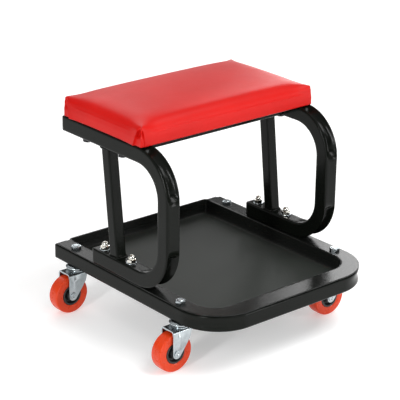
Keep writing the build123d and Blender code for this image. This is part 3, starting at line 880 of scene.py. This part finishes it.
def makeYoke(tag):
    # a sheet over a U in the Y-Z plane: u runs up one leg, over the top and down the other,
    # v from the rear edge to the front edge, whose places depend on the height on the leg
    low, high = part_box(f"yoke_{tag}")
    axleLow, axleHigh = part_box(f"axle_{tag}")
    axleX, axleZ = (axleLow.x + axleHigh.x) / 2, (axleLow.z + axleHigh.z) / 2
    y = (low.y + high.y) / 2
    sheet, boss = yoke["sheet"], yoke["bossRound"]
    half = yoke["inside"] / 2 + sheet / 2
    top = high.z - sheet / 2
    r = yoke["bendRound"]
    drop = np.linspace(0, np.pi / 2, 10)
    lower = axleZ - boss * np.cos(drop * 0.999)
    middle = np.linspace(axleZ, top - r, 14)[1:-1]
    turn = np.linspace(0, np.pi / 2, 8)
    legZ = np.concatenate([lower, middle, top - r + r * np.sin(turn)])
    legY = np.concatenate([np.full(len(lower) + len(middle), half), half - r + r * np.cos(turn)])
    acrossY = np.linspace(half - r, -(half - r), 12)[1:-1]
    pathY = np.concatenate([legY, acrossY, -legY[::-1]])
    pathZ = np.concatenate([legZ, np.full(len(acrossY), top), legZ[::-1]])
    # rear edge upright above the boss; front edge from the boss out to the knee, then up to the top
    bossReach = np.sqrt(np.clip(boss ** 2 - np.clip(axleZ - pathZ, 0, boss) ** 2, 0, None))
    rear = axleX - bossReach
    kneeX, kneeZ = high.x - yoke["kneeBack"], high.z - yoke["kneeDrop"]
    sideX, sideZ = axleX + boss * yoke["bossFront"], axleZ - boss * yoke["bossDown"]
    leaning = sideX + (kneeX - sideX) * (pathZ - sideZ) / (kneeZ - sideZ)
    steep = kneeX + (high.x - kneeX) * (pathZ - kneeZ) / (high.z - kneeZ)
    front = np.where(pathZ < sideZ, axleX + bossReach, np.where(pathZ < kneeZ, leaning, steep))
    v = np.linspace(0, 1, yoke["columns"])
    x = rear[:, None] * (1 - v) + front[:, None] * v
    # each leg is creased outwards along an upright ridge between the boss and the bend:
    # a tent between the two edges, a rib with soft sides on it, both fading at foot and top
    ridge = axleX + yoke["ridge"]
    slope = np.where(x < ridge, (x - rear[:, None]) / (ridge - rear[:, None]),
                     (front[:, None] - x) / np.maximum(front[:, None] - ridge, yoke["leastFront"]))
    foot = smoothStep((pathZ - axleZ - yoke["ridgeFoot"]) / yoke["footRise"])
    up = foot * smoothStep((top - yoke["topClear"] - pathZ) / yoke["topRise"])
    aside = yoke["ribWide"] / 2 - np.abs(x - ridge)
    rib = yoke["ribHigh"] * smoothStep(aside / yoke["ribEdge"])
    raised = (yoke["ridgeHigh"] * np.clip(slope, 0, 1) + rib) * up[:, None]
    outwards = np.sign(pathY)[:, None] * raised
    grid = np.stack([x, np.broadcast_to(pathY[:, None], x.shape) + outwards + y,
                     np.broadcast_to(pathZ[:, None], x.shape)], -1)
    obj = gridPiece(f"yoke_{tag}_fork", grid, sharp=60)
    thick = obj.modifiers.new("sheet", "SOLIDIFY")
    thick.thickness = sheet
    thick.offset = 0
    soft = obj.modifiers.new("edges", "BEVEL")
    soft.width = yoke["bevel"]
    soft.segments = 2
    soft.limit_method = "ANGLE"
    soft.angle_limit = math.radians(50)
    place(obj, f"swivel_{tag}", zincFinish, f"yoke_{tag}", slot="zinc")


for tag in casterTags:
    makeTread(tag)
    makeHub(tag)
    makeAxle(tag)
    makeStem(tag)
    makeRace(tag)
    makeYoke(tag)
    recolour(f"bush_{tag}", zincFinish)
print("casters ready")


cushion = dict(rimHigh=0.033, shoulderRise=0.0075, shoulderReach=0.023, middleRise=0.0032, cornerRound=0.002,
               edgeRound=0.0135, roundReach=0.03, lowerRound=0.0018, skin=0.00095, turnUnder=0.026,
               boardHigh=0.0111, voxel=0.005, pressure=4.0, capAcross=0.0022, capUp=0.0022, evenPasses=70,
               softenPasses=60, give=0.6, blockStep=0.004, coarse=0.0045, lining=0.0009)
pleat = dict(sideFoot=0.0185, frontFoot=0.008, apex=0.0012, curve=0.62, warpReach=0.04, sideLip=0.0029,
             frontLip=0.0014, recess=0.0008, pocket=0.0046, sideFade=0.018, frontFade=0.009, edge=0.93,
             firstStep=0.0007, nextStep=0.0018, topReach=0.03, frontPocket=0.3, pocketStart=0.36,
             pocketRise=0.2, pocketFade=0.22)
# the foam's cloth, held where it lies below heldHigh; neighbours is how many of its points move one
# point of the pad
foam = dict(heldHigh=0.005, frames=20, quality=6, mass=0.3, tension=25, shear=15, bending=4, neighbours=8)
coverLow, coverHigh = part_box("seat_cover")
padHalf = np.array([(coverHigh.x - coverLow.x) / 2, (coverHigh.y - coverLow.y) / 2])
padMiddle = np.array([(coverHigh.x + coverLow.x) / 2, (coverHigh.y + coverLow.y) / 2, coverLow.z])


def tightSteps(half, foot, fine, coarse):
    # places from -half to half, close together near the ends and on both sides of a pleat's edge
    near = np.concatenate([np.linspace(0, foot * pleat["edge"], round(foot / fine))[:-1],
                           foot * np.array([pleat["edge"], 0.965, 1.0]), [foot + pleat["firstStep"]],
                           np.arange(foot + pleat["nextStep"], pleat["warpReach"], fine * 1.5)])
    reach = pleat["warpReach"]
    middle = np.linspace(-half + reach, half - reach, round(2 * (half - reach) / coarse) + 1)
    return np.concatenate([-half + near, middle, (half - near)[::-1]])


def follow(a, foot, flank):
    # distance from a corner, stretched so that the step at the foot lies on the pleat's edge
    reach = pleat["warpReach"]
    outside = flank + (a - foot) * (reach - flank) / (reach - foot)
    return np.where(a >= reach, a, np.where(a <= foot, a * flank / foot, outside))


def padShape(x0, y0, share, top, folds=True):
    # x0, y0: place on the flat plan; share: part of the rim's height; top: whether on the top face
    # a pleat's flank lies at apex + (foot - apex) (1 - share)^curve from the corner
    foot = np.array([pleat["frontFoot"], pleat["sideFoot"]])
    apex, curve = pleat["apex"], pleat["curve"]
    start = padHalf - np.abs(np.stack([x0, y0], -1))
    if top:
        flank = apex + (foot - apex) * smoothStep(start[..., ::-1] / pleat["topReach"])
    else:
        flank = apex + (foot - apex) * (1 - share)[..., None] ** curve
    gap = np.stack([follow(start[..., k], foot[k], flank[..., k]) for k in (0, 1)], -1)
    sign = np.sign(np.stack([x0, y0], -1))
    # edges: the nearest point of an inner box plus the rounding radius towards the outer point
    cornerDistance = np.linalg.norm(gap, axis=-1)
    r = cushion["cornerRound"] + (cushion["edgeRound"] - cushion["cornerRound"]) * smoothStep(
        cornerDistance / cushion["roundReach"])
    outer = np.concatenate([padHalf - gap, (cushion["rimHigh"] * share)[..., None]], -1)
    limit = np.stack([padHalf[0] - r, padHalf[1] - r, cushion["rimHigh"] - r], -1)
    inner = np.minimum(outer, limit)
    away = outer - inner
    length = np.linalg.norm(away, axis=-1)[..., None]
    p = np.where(length > 0, inner + away / np.maximum(length, 1e-9) * r[..., None], outer)
    # lower edge: a small quarter round
    lowerRound = cushion["lowerRound"]
    low = np.clip(lowerRound - p[..., 2], 0, lowerRound)
    tuck = lowerRound - np.sqrt(lowerRound ** 2 - low ** 2)
    p[..., 0] -= tuck * (start[..., 0] < 1e-6)
    p[..., 1] -= tuck * (start[..., 1] < 1e-6)
    # crown: a quick rise 1 - e^(-gap / reach) inside each edge, then a gentle sine to the middle
    quick = (1 - np.exp(-gap / cushion["shoulderReach"])).prod(-1)
    gentle = np.sin(np.pi / 2 * np.clip(gap / padHalf, 0, 1)).prod(-1)
    p[..., 2] += (cushion["shoulderRise"] * quick + cushion["middleRise"] * gentle) * (share >= 1)
    if folds and not top:
        down = 1 - share
        flaps = ((1, pleat["sideLip"], pleat["sideFade"]), (0, pleat["frontLip"], pleat["frontFade"]))
        for k, lip, fade in flaps:
            # on this face the pleat's flap stands proud of the tucked facet beside the corner
            on = start[..., 1 - k] < 1e-6
            inside = np.clip(start[..., k] / foot[k], 0, 1)
            outside = np.clip((inside - pleat["edge"]) / 0.07, 0, 1)
            raised = lip * down ** 0.45 * np.exp(-np.clip(gap[..., k] - flank[..., k], 0, None) / fade)
            if k == 0:
                raised = raised * (1 - 0.75 * smoothStep((down - 0.5) / 0.4))
            # the facet is tucked deepest above the board, under the pleat's apex
            pocket = smoothStep((share - pleat["pocketStart"]) / pleat["pocketRise"])
            pocket = pocket * smoothStep(down / pleat["pocketFade"])
            deep = pleat["pocket"] * pocket * (1 if k == 1 else pleat["frontPocket"])
            depth = pleat["recess"] * down ** 0.6 * (1 - pocket) + deep
            tucked = -depth * np.sin(np.pi / 2 * inside)
            p[..., 1 - k] += np.where(on, tucked * (1 - outside) + raised * outside, 0)
    p[..., :2] *= sign
    return p + padMiddle


def rectangleLoop(xs, ys):
    # once round the plan, anticlockwise from the front left corner
    hx, hy = padHalf
    runs = [np.stack([xs, np.full(len(xs), -hy)], 1), np.stack([np.full(len(ys), hx), ys], 1),
            np.stack([xs[::-1], np.full(len(xs), hy)], 1), np.stack([np.full(len(ys), -hx), ys[::-1]], 1)]
    return np.concatenate([run[:-1] for run in runs])


def padMesh(name, xs, ys, rows, board, folds):
    # top face grid, side wall grid and, with a board, the turned-under edge and the inner lining
    plan = rectangleLoop(xs, ys)
    count = len(plan)
    topX, topY = np.meshgrid(xs, ys, indexing="ij")
    topPoints = padShape(topX, topY, np.ones_like(topX), True, folds)
    shares = np.linspace(1, 0, rows)[:, None] * np.ones(count)
    x0, y0 = np.broadcast_to(plan[:, 0], shares.shape), np.broadcast_to(plan[:, 1], shares.shape)
    wall = padShape(x0, y0, shares, False, folds)
    rings = list(wall)
    if board:
        turn, skin = cushion["turnUnder"], cushion["skin"]
        # how far in from the plan and how high: under the board, round the edge and back up inside
        inner = cushion["lining"]
        lining = [(0.005, 0), (0.012, 0), (0.019, 0), (turn - 0.0004, 0), (turn, 0.0004), (turn, skin),
                  (0.013, skin), (inner, skin), (inner, 0.006), (inner, cushion["boardHigh"])]
        for inset, z in lining:
            ring = plan * (1 - inset / padHalf)
            rings.append(np.column_stack([ring + padMiddle[:2], np.full(count, padMiddle[2] + z)]))
    rings = np.array(rings)
    first = topPoints.shape[0] * topPoints.shape[1]
    faces = gridFaces(*topPoints.shape[:2]) + gridFaces(len(rings), count, wrapCols=True, first=first)
    faces.append([first + (len(rings) - 1) * count + k for k in range(count)])
    return makeMesh(name, np.concatenate([topPoints.reshape(-1, 3), rings.reshape(-1, 3)]), faces, 60)


def readPoints(mesh):
    # a mesh's vertices as rows of x, y, z
    co = np.zeros(len(mesh.vertices) * 3)
    mesh.vertices.foreach_get("co", co)
    return co.reshape(-1, 3)


def relaxed(mesh, values, give, passes):
    # each vertex's value moves the share give of the way to its neighbours' mean, again and again
    edges = np.zeros(len(mesh.edges) * 2, int)
    mesh.edges.foreach_get("vertices", edges)
    a, b = edges.reshape(-1, 2).T
    degree = np.bincount(np.concatenate([a, b]), minlength=len(values))[:, None]
    for _ in range(passes):
        total = np.zeros_like(values)
        for k in range(values.shape[1]):
            total[:, k] = np.bincount(a, values[b, k], len(values))
            total[:, k] += np.bincount(b, values[a, k], len(values))
        values = values + give * (total / degree - values)
    return values


def swelling():
    # a plain block of foam is remeshed evenly and blown up as cloth with its underside held;
    # returns its points and how far each has moved
    xs, ys = (np.linspace(-h, h, round(2 * h / cushion["blockStep"])) for h in padHalf)
    block = padMesh("foamBlock", xs, ys, 9, False, False)
    remesh = block.modifiers.new("even", "REMESH")
    remesh.mode = "VOXEL"
    remesh.voxel_size = cushion["voxel"]
    graph = bpy.context.evaluated_depsgraph_get()
    even = bpy.data.meshes.new_from_object(block.evaluated_get(graph))
    block.modifiers.clear()
    block.data = even
    before = readPoints(even)
    pinned = block.vertex_groups.new(name="pinned")
    held = np.nonzero(before[:, 2] < padMiddle[2] + foam["heldHigh"])[0]
    pinned.add(held.tolist(), 1.0, "REPLACE")
    cloth = block.modifiers.new("swell", "CLOTH")
    settings = cloth.settings
    settings.use_pressure = True
    settings.uniform_pressure_force = cushion["pressure"]
    settings.vertex_group_mass = "pinned"
    settings.effector_weights.gravity = 0
    settings.quality = foam["quality"]
    settings.mass = foam["mass"]
    settings.tension_stiffness = foam["tension"]
    settings.compression_stiffness = foam["tension"]
    settings.shear_stiffness = foam["shear"]
    settings.bending_stiffness = foam["bending"]
    for f in range(1, foam["frames"] + 1):
        bpy.context.scene.frame_set(f)
    graph = bpy.context.evaluated_depsgraph_get()
    swollen = bpy.data.meshes.new_from_object(block.evaluated_get(graph))
    move = readPoints(swollen) - before
    move = relaxed(swollen, move, cushion["give"], cushion["evenPasses"])
    bpy.context.scene.frame_set(1)
    bpy.data.objects.remove(block)
    print("swelling", np.abs(move).max(0).round(4).tolist())
    return before, move


# the walls may be drawn in by wallSlack, by rimSlack more above boardTop and freely above freeFrom;
# shoulders and crest are smoothed from a height upwards, over a rise
settle = dict(fineX=0.0011, fineY=0.0012, underside=0.0015, boardTop=0.0115, wallSkin=0.00085, near=0.001,
              shoulder=0.014, shoulderRise=0.012, crest=0.025, crestRise=0.007, cornerKept=0.009,
              cornerReach=0.025, wallSlack=0.0003, rimSlack=0.0011, rimRise=0.012, freeFrom=0.021, free=0.02)


def makeCushion():
    # the pad, moved as the swollen foam next to each point has moved, then smoothed and held to its plan
    xs = tightSteps(padHalf[0], pleat["frontFoot"], settle["fineX"], cushion["coarse"])
    ys = tightSteps(padHalf[1], pleat["sideFoot"], settle["fineY"], cushion["coarse"])
    obj = padMesh("seatCushion", xs, ys, 26, True, True)
    before, move = swelling()
    across = np.linalg.norm(move[:, :2], axis=1)[:, None] + 1e-9
    move[:, :2] *= np.minimum(1, cushion["capAcross"] / across)
    move[:, 2] = np.clip(move[:, 2], 0, cushion["capUp"])
    tree = KDTree(len(before))
    for i, point in enumerate(before):
        tree.insert(point, i)
    tree.balance()
    co = readPoints(obj.data)
    start = co.copy()
    # neither the turned edge nor the lining inside the pad is moved
    height = start[:, 2] - padMiddle[2]
    withinPlan = (np.abs(co[:, :2] - padMiddle[:2]) < padHalf - settle["wallSkin"]).all(1)
    outside = (height > settle["underside"]) & ~(withinPlan & (height < settle["boardTop"]))
    for i in np.nonzero(outside)[0]:
        # the mean move of the nearest foam points, weighted by 1 / distance^2
        found = tree.find_n(co[i], foam["neighbours"])
        weight = np.array([1 / (d + settle["near"]) ** 2 for _, _, d in found])
        co[i] += (move[[k for _, k, _ in found]] * weight[:, None]).sum(0) / weight.sum()
    # soften the shoulders, away from the corners, as foam does under stretched vinyl
    corner = np.linalg.norm(padHalf - np.abs(co[:, :2] - padMiddle[:2]), axis=1)
    raisedTo = co[:, 2] - padMiddle[2]
    high = smoothStep((raisedTo - settle["shoulder"]) / settle["shoulderRise"])
    crest = smoothStep((raisedTo - settle["crest"]) / settle["crestRise"])
    far = smoothStep((corner - settle["cornerKept"]) / settle["cornerReach"])
    give = np.maximum(far * high, crest)[:, None] * cushion["give"]
    co = relaxed(obj.data, co, give, cushion["softenPasses"])
    # the walls stay nearly upright: hardly drawn inwards beside the board, more towards the rim
    rimwards = smoothStep((height - settle["boardTop"]) / settle["rimRise"])
    slack = settle["wallSlack"] + settle["rimSlack"] * rimwards
    slack += settle["free"] * smoothStep((height - settle["freeFrom"]) / settle["rimRise"])
    offset = co[:, :2] - padMiddle[:2]
    held = np.maximum(np.abs(offset), np.abs(start[:, :2] - padMiddle[:2]) - slack[:, None])
    co[:, :2] = padMiddle[:2] + held * np.sign(offset)
    obj.data.vertices.foreach_set("co", co.reshape(-1))
    obj.data.update()
    return obj


seat = makeCushion()
place(seat, chair, vinylFinish, "seat_cover", "seat_foam", slot="red_vinyl")
recolour("seat_board", woodFinish)
recolour("tee_nuts", zincFinish)
for part in ("rail", "foot", "arm"):
    recolour(f"{part}_plug_left", plugFinish)
    recolour(f"{part}_plug_right", plugFinish)
print("seat ready")

# the dome and the backdrop each say: from which height, to which height, first and last strength
studio = dict(floorSize=12.0, floorPlain=(0.76, 0.76, 0.76), floorDim=(0.75, 0.75, 0.75),
              floorWhite=(0.77, 0.77, 0.77), floorGlow=0.37, aim=(0.02447, 0.06644, 0.17459),
              azimuth=-40.185, elevation=21.231, roll=-0.694, distance=2.578, lens=140.2, sensor=36.0,
              farthest=50, dome=(0.3, 0.8, 0.16, 0.6), backdrop=(0.06, 0.17, 1.0, 0))


def floorSheet():
    # a translucent shooting table, lit a little from below
    mat = newMaterial("floorSheet", studio["floorPlain"], 0.8, specular=0.1)
    mixColours(mat, objectNoise(mat, 1.2).outputs["Fac"], studio["floorDim"], studio["floorWhite"])
    shader = mat.node_tree.nodes["Principled BSDF"]
    shader.inputs["Emission Color"].default_value = (1, 1, 1, 1)
    shader.inputs["Emission Strength"].default_value = studio["floorGlow"]
    return mat


def makeFloor():
    # one square that serves as the stage
    half = studio["floorSize"] / 2
    corners = [(-half, -half, 0), (half, -half, 0), (half, half, 0), (-half, half, 0)]
    mesh = bpy.data.meshes.new("floor")
    mesh.from_pydata(corners, [], [(0, 1, 2, 3)])
    floor = bpy.data.objects.new("floor", mesh)
    floor.data.materials.append(floorSheet())
    bpy.context.scene.collection.objects.link(floor)


def softbox(name, spot, target, width, height, power):
    # a rectangular light at spot that faces the target; sizes in metres, power in watts
    light = bpy.data.lights.new(name, "AREA")
    light.shape = "RECTANGLE"
    light.size, light.size_y = width, height
    light.energy = power
    obj = bpy.data.objects.new(name, light)
    obj.location = spot
    obj.rotation_mode = "QUATERNION"
    obj.rotation_quaternion = (Vector(target) - Vector(spot)).to_track_quat("-Z", "Y")
    bpy.context.scene.collection.objects.link(obj)


def makeCamera():
    # azimuth 0 looks along +y; the camera stands distance away from aim and is turned by roll
    a, e, roll = (math.radians(studio[k]) for k in ("azimuth", "elevation", "roll"))
    back = Vector((math.sin(a) * math.cos(e), -math.cos(a) * math.cos(e), math.sin(e)))
    right = Vector((math.cos(a), math.sin(a), 0))
    up = back.cross(right)
    camX = right * math.cos(roll) - up * math.sin(roll)
    camY = right * math.sin(roll) + up * math.cos(roll)
    data = bpy.data.cameras.new("camera")
    data.lens = studio["lens"]
    data.sensor_width = studio["sensor"]
    data.clip_end = studio["farthest"]
    camera = bpy.data.objects.new("camera", data)
    turn = Matrix((camX, camY, back)).transposed()
    spot = Vector(studio["aim"]) + back * studio["distance"]
    camera.matrix_world = Matrix.Translation(spot) @ turn.to_4x4()
    bpy.context.scene.collection.objects.link(camera)
    bpy.context.scene.camera = camera


def makeWorld():
    # a dome that is bright overhead, dimmer lower down, with a white backdrop just above the floor
    world = bpy.data.worlds.new("studioWorld")
    world.use_nodes = True
    direction = addNode(world, "ShaderNodeTexCoord")
    upwards = addNode(world, "ShaderNodeSeparateXYZ")
    total = addNode(world, "ShaderNodeMath", operation="ADD")
    link(world, direction.outputs["Generated"], upwards.inputs["Vector"])
    for socket, band in enumerate((studio["dome"], studio["backdrop"])):
        ramp = addNode(world, "ShaderNodeMapRange")
        for key, value in zip(("From Min", "From Max", "To Min", "To Max"), band):
            ramp.inputs[key].default_value = value
        link(world, upwards.outputs["Z"], ramp.inputs["Value"])
        link(world, ramp.outputs["Result"], total.inputs[socket])
    background = world.node_tree.nodes["Background"]
    link(world, total.outputs["Value"], background.inputs["Strength"])
    background.inputs["Color"].default_value = (1, 1, 1, 1)
    bpy.context.scene.world = world
    bpy.context.scene.view_settings.view_transform = "Standard"


makeFloor()
softbox("frontTop", (0.5, -1.1, 2.2), (0, 0.05, 0.2), 1.4, 1.0, 34)
softbox("keyLeft", (-1.0, -1.9, 1.95), (0, 0, 0.2), 0.25, 0.8, 6)
softbox("frontRight", (1.3, -2.1, 0.9), (0, 0, 0.2), 0.22, 1.5, 16)
softbox("leftFill", (-2.2, -0.8, 1.0), (0, 0, 0.15), 0.2, 1.4, 27)
softbox("rearRight", (2.2, 1.7, 1.35), (0, 0, 0.2), 0.5, 1.5, 12)
softbox("farRight", (2.5, 0.7, 0.5), (0, 0, 0.25), 0.4, 0.9, 6)
softbox("backLight", (1.2, 3.6, 2.4), (0.2, 2.2, 0), 2.4, 2.2, 36)
makeWorld()
makeCamera()
print("studio ready")
